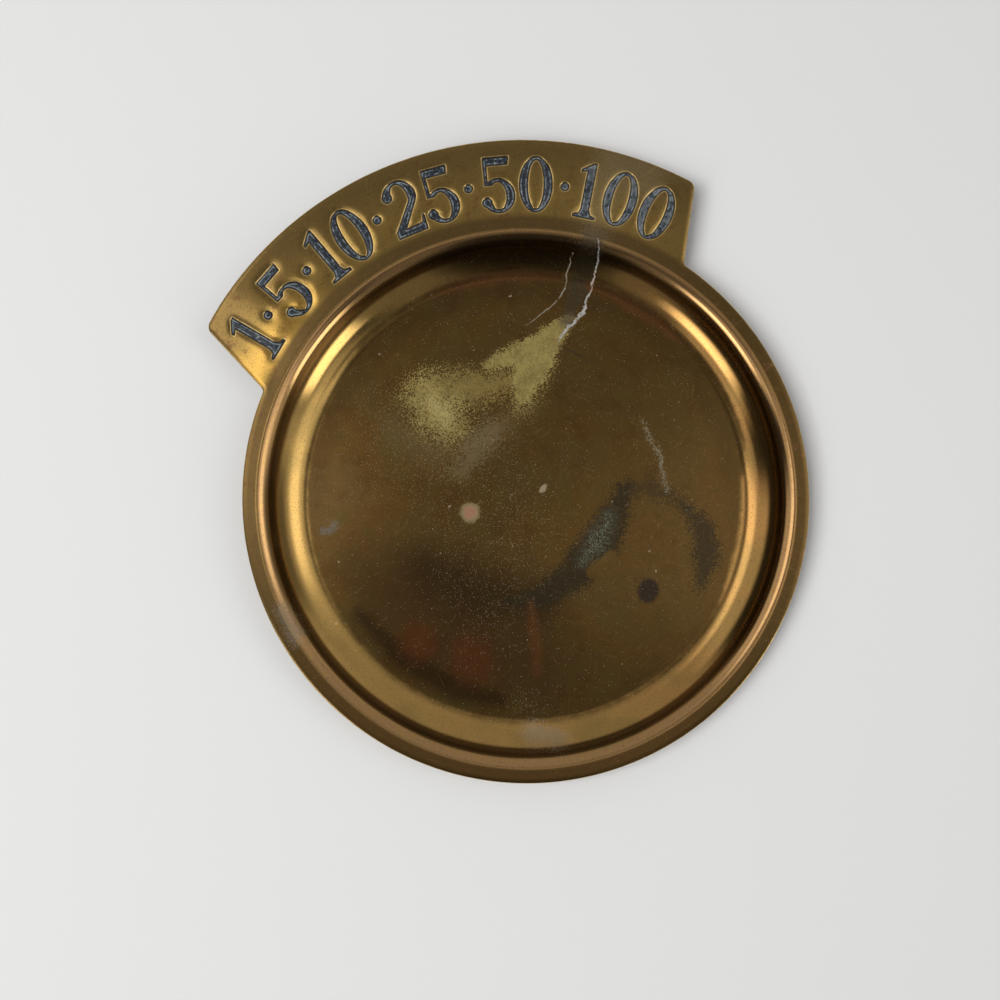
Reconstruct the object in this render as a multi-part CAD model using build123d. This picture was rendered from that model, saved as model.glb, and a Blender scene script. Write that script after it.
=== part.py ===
from build123d import *
import math
import os

# Coin tray: a shallow round dish pressed from one brass sheet, with a banner-shaped tab along its far
# side. Plain coin values are stamped into the tab with a dot between each two, and each stamped figure
# and dot holds a thin fill of dark enamel.
# Frame: millimetres, +Z up, +Y towards the tab, origin at the middle of the flat base.

# Dish
sheet = 1.0  # thickness of the brass
rim_radius = 63.5  # outer edge of the round flange
flange_width = 3.0  # flat ring between the cut edge and the shoulder
dish_depth = 6.5  # from the flange's top down to the floor's top
shoulder_radius = 3.4  # top surface, where the flange turns down into the wall
floor_bend_radius = 8.8  # top surface, where the wall runs out into the floor
wall_slope = 60.0  # degrees, steepest angle of the wall
edge_round = 0.3  # rounding of the sheet's cut edge

# Tab
tab_width = 17.4  # from the rim out to the tab's outer arc
corner_angle = 45.3  # degrees from +Y to each outer corner
root_angle = 51.0  # degrees from +Y to each inner corner, on the rim
corner_round = 2.2
root_round = 1.2

# Stamped figures
figure_height = 12.8
figure_middle_share = 0.414  # where the figures' middle lies, as a share of the tab's width
wide_figure = 7.6  # width of 0, 2 and 5
narrow_figure = 5.2  # width of 1
thick_stroke = 2.0
thin_stroke = 0.85
ball_radius = 1.15  # the round end of a stroke
dot_radius = 1.0
figure_gap = 1.1  # between the figures of one value
value_gap = 5.6  # between two values
stamp_depth = 0.45
fill_thickness = 0.25
fill_clearance = 0.03  # between a fill's side and the wall of its recess

VALUES = ("1", "5", "10", "25", "50", "100")

# Outlines of the straight-sided strokes. Each point is a share of half the figure's width and a share
# of its height, from the middle of its foot.
FLAG_OF_ONE_SHARES = (
    (0.38, 1.0), (0.1, 1.0), (-0.9, 0.86), (-0.9, 0.8), (-0.38, 0.84), (-0.38, 0.7), (0.38, 0.7),
)
FOOT_OF_ONE_SHARES = (
    (-1.0, 0.0), (1.0, 0.0), (1.0, 0.05), (0.55, 0.08), (0.38, 0.16),
    (-0.38, 0.16), (-0.55, 0.08), (-1.0, 0.05),
)
SLOPE_OF_TWO_SHARES = (
    (0.5, 0.67), (0.49, 0.63), (0.4, 0.58), (-0.96, 0.13), (-0.96, 0.02),
    (-0.5, 0.06), (0.86, 0.56), (0.97, 0.62), (0.985, 0.67),
)
BASE_OF_TWO_SHARES = (
    (-0.96, 0.0), (0.88, 0.0), (1.0, 0.27), (0.86, 0.27), (0.72, 0.16), (0.5, 0.14), (-0.96, 0.13),
)
TOP_OF_FIVE_SHARES = ((-0.78, 1.0), (0.8, 1.0), (0.7, 0.85), (-0.78, 0.85))
two_bowl_share = 0.6  # height of the 2's bowl
five_bowl_share = 0.62  # height of the 5's bowl
two_ball_share = 0.76  # height of the middle of the 2's ball
five_ball_share = 0.2  # height of the middle of the 5's ball
two_cut_share = 0.63  # where the 2's bowl stops and its slope begins
five_cut_share = 0.5  # where the 5's bowl meets its neck
stem_of_one_share = 0.8  # how far up the 1's stem reaches below its flag
five_neck_share = 0.78  # left side of the 5's neck, as a share of half the width
cut_side_share = 0.1  # how far the open side of a bowl reaches in, as a share of half the width

rim_top = sheet + dish_depth
shoulder_start = rim_radius - flange_width
bend_sum = shoulder_radius + floor_bend_radius
slope = math.radians(wall_slope)
straight_wall = (dish_depth - bend_sum * (1 - math.cos(slope))) / math.sin(slope)
floor_radius = shoulder_start - bend_sum * math.sin(slope) - straight_wall * math.cos(slope)
tab_radius = rim_radius + tab_width
middle_radius = rim_radius + figure_middle_share * tab_width
foot_radius = middle_radius - figure_height / 2


def on_bend(centre, radius, tilt):
    """The point of a bend, tilt radians from straight up, towards the dish's middle."""
    return (centre[0] - radius * math.sin(tilt), centre[1] + radius * math.cos(tilt))


def bend(centre, radius, first_tilt, last_tilt):
    """The arc of a bend between two tilts."""
    tilts = (first_tilt, (first_tilt + last_tilt) / 2, last_tilt)
    return ThreePointArc(*[on_bend(centre, radius, tilt) for tilt in tilts])


def make_dish():
    """The round dish out to the shoulder, an even sheet turned about Z."""
    shoulder = (shoulder_start, rim_top - shoulder_radius)
    foot = (floor_radius, sheet + floor_bend_radius)
    over = bend(shoulder, shoulder_radius, 0, slope)
    out = bend(foot, floor_bend_radius, math.pi + slope, math.pi)
    under_out = bend(foot, floor_bend_radius + sheet, math.pi, math.pi + slope)
    under_over = bend(shoulder, shoulder_radius - sheet, slope, 0)
    outline = [
        over,
        Line(over @ 1, out @ 0),
        out,
        Line(out @ 1, (0, sheet)),
        Line((0, sheet), (0, 0)),
        Line((0, 0), under_out @ 0),
        under_out,
        Line(under_out @ 1, under_over @ 0),
        under_over,
        Line(under_over @ 1, over @ 0),
    ]
    return revolve(Plane.XZ * make_face(outline), Axis.Z)


def round_the_dish(radius, angle):
    """The point at that radius, angle degrees from +Y towards +X."""
    turn = math.radians(angle)
    return (radius * math.sin(turn), radius * math.cos(turn))


def make_flange_and_tab():
    """The flat ring and the tab in one plane, with rounded corners and a rounded cut edge."""
    corners = [round_the_dish(tab_radius, side * corner_angle) for side in (-1, 1)]
    roots = [round_the_dish(rim_radius, side * root_angle) for side in (-1, 1)]
    tab = make_face([
        ThreePointArc(corners[0], (0, tab_radius), corners[1]),
        Line(corners[1], roots[1]),
        Line(roots[1], roots[0]),
        Line(roots[0], corners[0]),
    ])
    plan = Circle(rim_radius) + tab
    for points, radius in ((corners, corner_round), (roots, root_round)):
        for point in points:
            plan = fillet(plan.vertices().sort_by_distance(point)[0], radius)
    plate = extrude(plan, sheet)
    plate = fillet(plate.edges().filter_by(Axis.Z, reverse=True), edge_round)
    return Pos(0, 0, rim_top - sheet) * plate - extrude(Circle(shoulder_start), rim_top)


def stroke(shares, width, inset):
    """A straight-sided stroke, drawn in by inset all round."""
    points = [(across * width / 2, up * figure_height) for across, up in shares]
    return offset(make_face(Polyline(*points, close=True)), -inset, kind=Kind.INTERSECTION)


def bar(left, right, low, high, inset):
    """An upright rectangle between two sides and two heights, drawn in by inset."""
    middle = Pos((left + right) / 2, (low + high) / 2)
    return middle * Rectangle(right - left - 2 * inset, high - low - 2 * inset)


def oval(low, high, inset):
    """An upright oval ring as wide as a wide figure, thick at its sides and thin at top and bottom."""
    half_width = wide_figure / 2
    half_height = (high - low) / 2
    outer = Ellipse(half_width - inset, half_height - inset)
    inner = Ellipse(half_width - thick_stroke + inset, half_height - thin_stroke + inset)
    return Pos(0, (low + high) / 2) * (outer - inner)


def ball(up_share, inset):
    """The round end of a stroke, at the figure's left side."""
    return Pos(ball_radius - wide_figure / 2, up_share * figure_height) * Circle(ball_radius - inset)


def figure_zero(inset):
    return oval(0, figure_height, inset)


def figure_one(inset):
    stem = bar(-thick_stroke / 2, thick_stroke / 2, 0, stem_of_one_share * figure_height, inset)
    flag = stroke(FLAG_OF_ONE_SHARES, narrow_figure, inset)
    return stem + flag + stroke(FOOT_OF_ONE_SHARES, narrow_figure, inset)


def figure_two(inset):
    bowl = oval(figure_height * (1 - two_bowl_share), figure_height, inset)
    below = bar(-wide_figure, wide_figure, -figure_height, two_cut_share * figure_height, 0)
    open_side = bar(-wide_figure, -cut_side_share * wide_figure / 2,
                    0, two_ball_share * figure_height, 0)
    slope_and_base = stroke(SLOPE_OF_TWO_SHARES, wide_figure, inset)
    slope_and_base += stroke(BASE_OF_TWO_SHARES, wide_figure, inset)
    return (bowl - below - open_side) + ball(two_ball_share, inset) + slope_and_base


def figure_five(inset):
    bowl = oval(0, five_bowl_share * figure_height, inset)
    open_side = bar(-wide_figure, -cut_side_share * wide_figure / 2,
                    five_ball_share * figure_height, five_cut_share * figure_height, 0)
    neck_left = -five_neck_share * wide_figure / 2
    neck = bar(neck_left, neck_left + thin_stroke, five_cut_share * figure_height, figure_height, inset)
    top = stroke(TOP_OF_FIVE_SHARES, wide_figure, inset)
    return (bowl - open_side) + ball(five_ball_share, inset) + neck + top


def figure_dot(inset):
    return Pos(0, figure_height / 2) * Circle(dot_radius - inset)


FIGURES = {"0": figure_zero, "1": figure_one, "2": figure_two, "5": figure_five, ".": figure_dot}


def width_of(figure):
    return narrow_figure if figure == "1" else wide_figure


def lay_out():
    """Each figure and dot with its angle from +Y, in degrees, left to right and centred on +Y."""
    placed = []
    at = 0
    for value in VALUES:
        if placed:
            placed.append((".", at + value_gap / 2))
            at += value_gap
        for figure in value:
            placed.append((figure, at + width_of(figure) / 2))
            at += width_of(figure) + figure_gap
        at -= figure_gap
    return [(figure, math.degrees((along - at / 2) / middle_radius)) for figure, along in placed]


def stamp(figure, angle, low, high, inset):
    """A figure as a block between two heights, standing on the foot circle of the tab."""
    block = extrude(FIGURES[figure](inset), high - low)
    return Rot(0, 0, -angle) * Pos(0, foot_radius, low) * block


def main():
    os.makedirs("parts", exist_ok=True)
    recess_floor = rim_top - stamp_depth
    shell = make_dish() + make_flange_and_tab()
    counts = {True: 0, False: 0}
    for figure, angle in lay_out():
        shell -= stamp(figure, angle, recess_floor, rim_top, 0)
        fill = stamp(figure, angle, recess_floor, recess_floor + fill_thickness, fill_clearance)
        is_dot = figure == "."
        counts[is_dot] += 1
        name = f"dot_fill_{counts[True]}" if is_dot else f"figure_fill_{counts[False]:02d}"
        export_step(fill, f"parts/{name}.step")
    export_step(shell, "parts/tray_shell.step")
    print("floor radius", round(floor_radius, 2), "straight wall", round(straight_wall, 2))
    print("shell", len(shell.solids()), "solid", round(shell.volume), "mm3", shell.bounding_box().size)


main()
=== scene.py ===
import math

import bpy
import numpy as np
from mathutils import Matrix, Vector, geometry


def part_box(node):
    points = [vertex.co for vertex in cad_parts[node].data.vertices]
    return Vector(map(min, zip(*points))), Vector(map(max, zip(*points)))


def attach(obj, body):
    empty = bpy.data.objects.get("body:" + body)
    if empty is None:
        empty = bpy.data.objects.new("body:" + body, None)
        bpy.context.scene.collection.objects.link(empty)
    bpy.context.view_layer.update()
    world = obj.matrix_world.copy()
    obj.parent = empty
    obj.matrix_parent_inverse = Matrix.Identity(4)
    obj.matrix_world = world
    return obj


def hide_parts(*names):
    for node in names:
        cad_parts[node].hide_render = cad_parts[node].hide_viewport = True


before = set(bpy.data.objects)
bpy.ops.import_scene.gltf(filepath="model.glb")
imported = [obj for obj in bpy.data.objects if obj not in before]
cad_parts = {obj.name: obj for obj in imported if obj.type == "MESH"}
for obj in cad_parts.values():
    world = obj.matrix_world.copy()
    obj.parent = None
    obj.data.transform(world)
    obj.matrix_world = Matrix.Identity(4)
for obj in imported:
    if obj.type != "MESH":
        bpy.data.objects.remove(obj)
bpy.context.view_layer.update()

# Coin tray. The sheet is remade as one pressed piece with soft stamped lips, a rolled-down edge and a
# slightly uneven rim, and each enamel fill is remade with a rounded top. Lengths are millimetres in the
# frame of the CAD, and angles go from +Y towards +X, in degrees.
MM = 0.001

# The sheet, as in the CAD
_, tray_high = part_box("tray_shell")
RIM_RADIUS = tray_high.x / MM
TAB_RADIUS = tray_high.y / MM
SHEET = 1.0
FLANGE_WIDTH = 3.0
SHOULDER_RADIUS = 3.4
BEND_RADIUS = 8.8
WALL_SLOPE = math.radians(60)
CORNER_ANGLE = 45.3
ROOT_ANGLE = 51.0
CORNER_ROUND = 2.2
ROOT_ROUND = 1.2
FILL_CLEARANCE = 0.03

# What pressing and stamping did to it
TOP_ROOM = 0.02  # the plate lies this far under the CAD's top, so that its waves stay inside the box
DRAW_DROP = 0.24  # the stamp also drew down the metal round each figure
DRAW_WIDTH = 1.1
DRAW_STEP = 0.45
STAMP_DEPTH = 0.45
STAMP_START = 0.1  # outside the outline, where the surface turns down
STAMP_RUN = 0.4  # from there to the floor of the recess
LIP_WEAR = 0.25  # how wide the worn line along the stamped outline is to each side
BACK_RELIEF = 0.09  # how far a figure shows on the underside
BACK_SPREAD = 0.9
ROLL_WIDTH = 1.1
ROLL_DROP = 0.12
EDGE_INSET = 0.3  # where the rolled-down top turns over into the cut edge
UNDER_ROUND = 0.2
EDGE_WEAR = 1.0  # how bright the cut edge is rubbed, above and below
UNDER_EDGE_WEAR = 0.7
DIP_DEPTH = 0.09  # shallow valley along the foot of the tab
DIP_WIDTH = 7.0
DIP_END = ROOT_ANGLE + 1  # the valley fades out over the angles before this
DIP_FADE = 6.0
CURL_DROP = 0.55  # the left end of the tab is bent down a little
CURL_START = 37.0
CURL_RUN = 13.0
CURL_REACH = 8.0  # from the rim out to where the bend is full
WAVE_COUNT = 3  # long shallow waves, which start outside the floor
WAVE_HEIGHTS = 0.003, 0.006
WAVE_LENGTHS = 14, 40
WAVE_START = 50
WAVE_RUN = 8

# Enamel, with depths below the plate
FILL_DROP = 0.25
FILL_FOOT = 0.4
FILL_CROWN = 0.08  # how far its middle rises above its rim
CROWN_RUN = 0.9
FILL_EDGE = 0.4  # how wide the band along its edge is, with painted shade at the edge and a painted highlight further in

# Fineness of the meshes
COLUMNS = 480
BEND_RINGS = 25
SHOULDER_RINGS = 15
FLOOR_STEP = 1.5
PLATE_STEP = 0.8
FIGURE_STEP = 0.28
FILL_STEP = 0.35
TAB_EDGE_STEP = 0.5
RIM_STEP = 0.7
CORNER_STEP = 0.2
ROOT_STEP = 0.15
NORMAL_STEP = 0.01
TOP_INSETS = (EDGE_INSET, 0.5, 0.8, 1.2)  # lines of points along the edge of the plate
UNDER_INSETS = (UNDER_ROUND, 0.8, 1.2)
EDGE_SHARES = (0.25, 0.5, 0.75, 1.0)  # rings on the upper round of the cut edge
UNDER_SHARES = (0.0, 0.33, 0.67)  # rings on its lower round
STAMP_OFFSETS = (1.9, 1.4, 1.0, 0.65, 0.4, 0.24, 0.14, 0.07, 0.0, -0.07, -0.14, -0.28)
BACK_OFFSETS = (0.9, 0.45, 0.0, -0.45)
FILL_OFFSETS = (-0.14, -0.26, -0.42, -0.65)
FILL_INSIDE = -0.8  # the grid of a fill's points starts here
LOOSE_ROOM = 0.6  # how far a grid's points keep from the rings of the dish
LINE_ROOM = 0.1  # how far stamped lines keep from the roll at the edge
GRID_ROOM = 0.4  # how far the grid's points keep from it
OUTER_ROOM = 0.35  # and from the outermost and the innermost stamped line
INNER_ROOM = 0.3
OFFSET_TOLERANCE = 0.03  # within these a point is on its line, a face at the top, a middle on the plate
LEVEL_TOLERANCE = 0.01
RING_TOLERANCE = 0.02
JOIN_TOLERANCE = 1e-6
SHARP_TURN = math.radians(20)
ROW_SHARE = math.sqrt(0.75)  # rows of a staggered grid, as a share of its step
FIGURE_REACH = 3.0  # only this near to a figure, or to the edge, is the distance worked out
EDGE_REACH = 1.5
EDGE_ANGLE = CORNER_ANGLE - 3  # up to here the edge is the tab's outer arc
FAR = 9.0  # stands for a distance that isn't worked out

# The bake map: the top and the cut edge large, the underside small beside them
TOP_SCALE = 0.735 / (2 * TAB_RADIUS)
UNDER_SCALE = 0.34 / (2 * TAB_RADIUS)
MAP_CENTRE = [0, 8.7]
TOP_PLACE = [0.335, 0.345]
UNDER_PLACE = [0.84, 0.2]
FILL_PLACES = {1: [0.25, 0.5], -1: [0.75, 0.5]}
FILL_SCALE = [0.49, 0.98]
FILL_MARGIN = 1.2  # added to the longer side of a figure
UPPER_ROUND_END = 0.3  # how far outside the outline the cut edge's parts end on the map
CUT_END = 0.8
LOWER_ROUND_END = 1.0

shoulder_start = RIM_RADIUS - FLANGE_WIDTH
plate_top = tray_high.z / MM - TOP_ROOM
dish_depth = plate_top - SHEET
bend_sum = SHOULDER_RADIUS + BEND_RADIUS
straight_wall = (dish_depth - bend_sum * (1 - math.cos(WALL_SLOPE))) / math.sin(WALL_SLOPE)
floor_radius = shoulder_start - bend_sum * math.sin(WALL_SLOPE) - straight_wall * math.cos(WALL_SLOPE)
dish_run = bend_sum * WALL_SLOPE + straight_wall + floor_radius
unrolled_shift = dish_run - shoulder_start


def smooth(value):
    """0 below 0, 1 above 1 and an S-shaped rise between."""
    value = np.clip(value, 0, 1)
    return value * value * (3 - 2 * value)


def bump(value):
    """1 at 0, falling off to both sides."""
    return np.exp(-value * value)


def polar(radius, angle):
    turn = np.radians(angle)
    return np.array([radius * np.sin(turn), radius * np.cos(turn)])


def unit(vector):
    return vector / np.linalg.norm(vector)


# Outline of the plan


def arc(centre, radius, first, last, step, outward):
    """Points and outward normals on an arc between two directions, without its last point. outward is 1
    where the part's outside is the arc's outside, and -1 in a hollow corner."""
    start = math.atan2(first[1], first[0])
    turn = math.remainder(math.atan2(last[1], last[0]) - start, 2 * math.pi)
    count = max(2, math.ceil(abs(turn) * radius / step))
    angles = start + turn * np.arange(count) / count
    rays = np.stack([np.cos(angles), np.sin(angles)], 1)
    return centre + radius * rays, outward * rays


def plan_outline():
    """Points and outward normals round the plan, clockwise seen from above and alike on both sides."""
    corner = polar(TAB_RADIUS, CORNER_ANGLE)
    root = polar(RIM_RADIUS, ROOT_ANGLE)
    along = unit(root - corner)
    side = np.array([-along[1], along[0]])
    side = side if side @ corner > side @ polar(TAB_RADIUS, 0) else -side

    def centre_of_round(offset, reach, near):
        """The point offset from the side line and reach from the dish's middle, beside near."""
        base = corner + offset * side
        middle = -(base @ along)
        half = math.sqrt(middle ** 2 - base @ base + reach ** 2)
        choices = [base + (middle + sign * half) * along for sign in (-1, 1)]
        return min(choices, key=lambda point: np.linalg.norm(point - near))

    outer = centre_of_round(-CORNER_ROUND, TAB_RADIUS - CORNER_ROUND, corner)
    inner = centre_of_round(ROOT_ROUND, RIM_RADIUS + ROOT_ROUND, root)
    tab = arc(np.zeros(2), TAB_RADIUS, (0, 1), outer, TAB_EDGE_STEP, 1)
    rounded = arc(outer, CORNER_ROUND, outer, side, CORNER_STEP, 1)
    line_start = outer + CORNER_ROUND * side
    line_end = inner - ROOT_ROUND * side
    count = math.ceil(np.linalg.norm(line_end - line_start) / TAB_EDGE_STEP)
    shares = np.arange(count)[:, None] / count
    line = (line_start + shares * (line_end - line_start), np.tile(side, (count, 1)))
    hollow = arc(inner, ROOT_ROUND, -side, -inner, ROOT_STEP, -1)
    rim = [arc(np.zeros(2), RIM_RADIUS, first, last, RIM_STEP, 1)
           for first, last in ((inner, (1, 0)), ((1, 0), (0, -1)))]
    half = [np.vstack(parts) for parts in zip(tab, rounded, line, hollow, *rim)]
    ends = np.array([[0, -RIM_RADIUS]]), np.array([[0, -1.0]])
    mirror = np.array([-1, 1])
    return [np.vstack([right, end, right[:0:-1] * mirror]) for right, end in zip(half, ends)]


outline, outline_normals = plan_outline()


# Distances from outlines


def distance_to(points, ring):
    """How far each point is from a closed ring of points."""
    nearest = np.full(len(points), np.inf)
    ends = np.roll(ring, -1, axis=0)
    for start, end in zip(ring, ends):
        along = end - start
        away = points - start
        share = np.clip(away @ along / (along @ along), 0, 1)
        gap = away - share[:, None] * along
        nearest = np.minimum(nearest, gap[:, 0] ** 2 + gap[:, 1] ** 2)
    return np.sqrt(nearest)


def is_inside(points, rings):
    """Whether each point has the rings round it an odd number of times."""
    inside = np.zeros(len(points), bool)
    for ring in rings:
        for (x1, y1), (x2, y2) in zip(ring, np.roll(ring, -1, axis=0)):
            if y1 == y2:
                continue
            crosses = (points[:, 1] > y1) != (points[:, 1] > y2)
            cut = x1 + (points[:, 1] - y1) * (x2 - x1) / (y2 - y1)
            inside ^= crosses & (points[:, 0] < cut)
    return inside


def top_rings(node):
    """The closed outlines of the top face of a CAD fill, with the metal on their right."""
    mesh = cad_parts[node].data
    places = np.array([vertex.co for vertex in mesh.vertices]) / MM
    top = places[:, 2].max()
    keys = [tuple(np.round(place[:2], 4)) for place in places]
    edges = {}
    for face in mesh.polygons:
        corners = list(face.vertices)
        if places[corners, 2].min() < top - LEVEL_TOLERANCE:
            continue
        for start, end in zip(corners, corners[1:] + corners[:1]):
            if not edges.pop((keys[end], keys[start]), False):
                edges[keys[start], keys[end]] = True
    follows = {start: end for start, end in edges}
    rings = []
    while follows:
        ring = [min(follows)]
        while (end := follows.pop(ring[-1])) != ring[0]:
            ring.append(end)
        rings.append(np.array(ring))
    return rings


def respaced(ring, step):
    """The same ring with its sharp corners kept and even spacing between them."""
    ahead = np.roll(ring, -1, axis=0) - ring
    behind = ring - np.roll(ring, 1, axis=0)
    turn = np.arctan2(
        behind[:, 0] * ahead[:, 1] - behind[:, 1] * ahead[:, 0], (ahead * behind).sum(1)
    )
    corners = np.flatnonzero(np.abs(turn) > SHARP_TURN)
    corners = corners if len(corners) else np.array([0])
    made = []
    for first, last in zip(corners, np.roll(corners, -1)):
        count = (last - first) % len(ring) or len(ring)
        run = ring[(first + np.arange(count + 1)) % len(ring)]
        travelled = np.concatenate([[0], np.cumsum(np.linalg.norm(np.diff(run, axis=0), axis=1))])
        pieces = max(1, math.ceil(travelled[-1] / step))
        at = travelled[-1] * np.arange(pieces) / pieces
        made.append(np.stack([np.interp(at, travelled, run[:, k]) for k in (0, 1)], 1))
    return np.vstack(made)


def moved_out(ring, offset):
    """The ring with each point moved to the right of the ring's direction, and an arc of points about
    each sharp corner."""
    ahead = np.roll(ring, -1, axis=0) - ring
    ahead /= np.linalg.norm(ahead, axis=1)[:, None]
    behind = np.roll(ahead, 1, axis=0)
    right_ahead = np.stack([ahead[:, 1], -ahead[:, 0]], 1)
    right_behind = np.stack([behind[:, 1], -behind[:, 0]], 1)
    middle = right_ahead + right_behind
    middle /= np.maximum((middle * right_ahead).sum(1), 0.5)[:, None]
    moved = [ring + offset * middle]
    for k in np.flatnonzero((right_ahead * right_behind).sum(1) < math.cos(SHARP_TURN)):
        start = math.atan2(*right_behind[k][::-1])
        turn = math.remainder(math.atan2(*right_ahead[k][::-1]) - start, 2 * math.pi)
        angles = start + turn * np.linspace(0, 1, 2 + math.ceil(abs(turn * offset) / FIGURE_STEP))
        moved.append(ring[k] + offset * np.stack([np.cos(angles), np.sin(angles)], 1))
    return np.vstack(moved)


def grid_points(step, reach):
    """A staggered grid over a square about the origin."""
    count = math.ceil(reach / step / ROW_SHARE)
    columns, rows = np.meshgrid(np.arange(-count, count + 1), np.arange(-count, count + 1))
    columns = columns + 0.5 * (rows % 2)
    return np.stack([columns.ravel() * step, rows.ravel() * step * ROW_SHARE], 1)


class Figure:
    """The outline of one stamped figure or dot, read from its CAD fill."""

    def __init__(self, node):
        self.node = node
        self.fine_rings = top_rings(node)
        self.rings = [respaced(ring, FIGURE_STEP) for ring in self.fine_rings]
        places = np.vstack(self.rings)
        self.low, self.high = places.min(0), places.max(0)
        self.inner = self.filled(DRAW_STEP)

    def is_near(self, points, reach):
        """Whether each point is in the figure's box, made larger by reach all round."""
        return np.all((points > self.low - reach) & (points < self.high + reach), axis=1)

    def filled(self, step):
        """Staggered points all over the figure."""
        points = grid_points(step, TAB_RADIUS)
        points = points[self.is_near(points, 0)]
        return points[is_inside(points, self.fine_rings)]

    def distance(self, points):
        """How far points are outside the recess's outline; inside it the numbers are negative."""
        away = np.min([distance_to(points, ring) for ring in self.fine_rings], axis=0)
        return np.where(is_inside(points, self.fine_rings), -away, away) - FILL_CLEARANCE

    def lines(self, offsets):
        """Points that lie offset from the outline, without those where two sides meet."""
        made = []
        for offset in offsets:
            for ring in self.rings:
                points = moved_out(ring, offset + FILL_CLEARANCE)
                made.append(points[np.abs(self.distance(points) - offset) < OFFSET_TOLERANCE])
        return np.vstack(made)


figures = [Figure(name) for name in sorted(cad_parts) if "fill" in name]


def figure_distance(points):
    """How far points are outside the nearest figure, or FAR."""
    nearest = np.full(len(points), FAR)
    for figure in figures:
        near = figure.is_near(points, FIGURE_REACH)
        if near.any():
            nearest[near] = np.minimum(nearest[near], figure.distance(points[near]))
    return nearest


def edge_distance(points):
    """How far points are inside the plan's outline, or FAR."""
    radius = np.hypot(*points.T)
    angle = np.abs(np.degrees(np.arctan2(points[:, 0], points[:, 1])))
    near = radius > np.where(angle < EDGE_ANGLE, TAB_RADIUS, RIM_RADIUS) - EDGE_REACH
    nearest = np.full(len(points), FAR)
    nearest[near] = distance_to(points[near], outline)
    return nearest


# Heights of the plate

rng = np.random.default_rng(11)
waves = [
    (rng.uniform(*WAVE_HEIGHTS), 2 * math.pi / rng.uniform(*WAVE_LENGTHS), rng.uniform(0, math.pi),
     rng.uniform(0, 2 * math.pi))
    for _ in range(WAVE_COUNT)
]


def unevenness(points):
    """Long shallow waves in the rim, none of them in the floor."""
    height = np.zeros(len(points))
    for size, turns, heading, phase in waves:
        along = points[:, 0] * math.cos(heading) + points[:, 1] * math.sin(heading)
        height += size * np.sin(turns * along + phase)
    return height * smooth((np.hypot(*points.T) - WAVE_START) / WAVE_RUN)


def plate_height(points):
    """Height of the top of the plate before stamping and before its edge is rolled down."""
    radius = np.hypot(*points.T)
    angle = np.degrees(np.arctan2(points[:, 0], points[:, 1]))
    on_tab = smooth((DIP_END - np.abs(angle)) / DIP_FADE)
    across = np.clip((radius - shoulder_start) / DIP_WIDTH, 0, 1)
    dip = DIP_DEPTH * on_tab * (4 * across * (1 - across)) ** 2
    bent = smooth((-angle - CURL_START) / CURL_RUN)
    curl = CURL_DROP * bent * smooth((radius - RIM_RADIUS) / CURL_REACH)
    return plate_top + unevenness(points) - dip - curl


def roll(inset):
    return ROLL_DROP * np.clip(1 - inset / ROLL_WIDTH, 0, 1) ** 2


def drawn_down(points):
    """How far the figures have drawn the metal down, a blur of their areas."""
    total = np.zeros(len(points))
    for figure in figures:
        near = figure.is_near(points, 3 * DRAW_WIDTH)
        for place in figure.inner:
            away = points[near] - place
            total[near] += bump(np.hypot(*away.T) / DRAW_WIDTH)
    return DRAW_DROP * total * DRAW_STEP ** 2 * ROW_SHARE / (math.pi * DRAW_WIDTH ** 2)


def top_height(points):
    drawn = drawn_down(points)
    recessed = smooth((STAMP_START - figure_distance(points)) / STAMP_RUN)
    stamped = drawn + (STAMP_DEPTH - drawn) * recessed
    return plate_height(points) - roll(edge_distance(points)) - stamped


def under_height(points):
    relief = BACK_RELIEF * smooth((BACK_SPREAD - figure_distance(points)) / (2 * BACK_SPREAD))
    return plate_height(points) - roll(edge_distance(points)) - SHEET - relief


def normals_of(height, points):
    """Upward normals of a surface given by its height function."""
    slopes = [
        (height(points + nudge) - height(points - nudge)) / (2 * NORMAL_STEP)
        for nudge in NORMAL_STEP * np.eye(2)
    ]
    normals = np.stack([-slopes[0], -slopes[1], np.ones(len(points))], 1)
    return normals / np.linalg.norm(normals, axis=1)[:, None]


# Meshes


def triangles_over(rings, loose, keep):
    """Triangles through all points of the rings and loose points, where keep says yes of their
    middles. Their numbers count through the rings and then the loose points."""
    points = np.vstack([*rings, loose])
    edges = []
    first = 0
    for ring in rings:
        edges += [(first + k, first + (k + 1) % len(ring)) for k in range(len(ring))]
        first += len(ring)
    corners = [Vector(point) for point in points]
    _, _, faces, sources, *_ = geometry.delaunay_2d_cdt(corners, edges, [], 1, JOIN_TOLERANCE)
    given = np.array([min(numbers) for numbers in sources])
    triangles = given[np.array(faces)]
    middles = points[triangles].mean(1)
    return triangles[keep(middles)]


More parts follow.
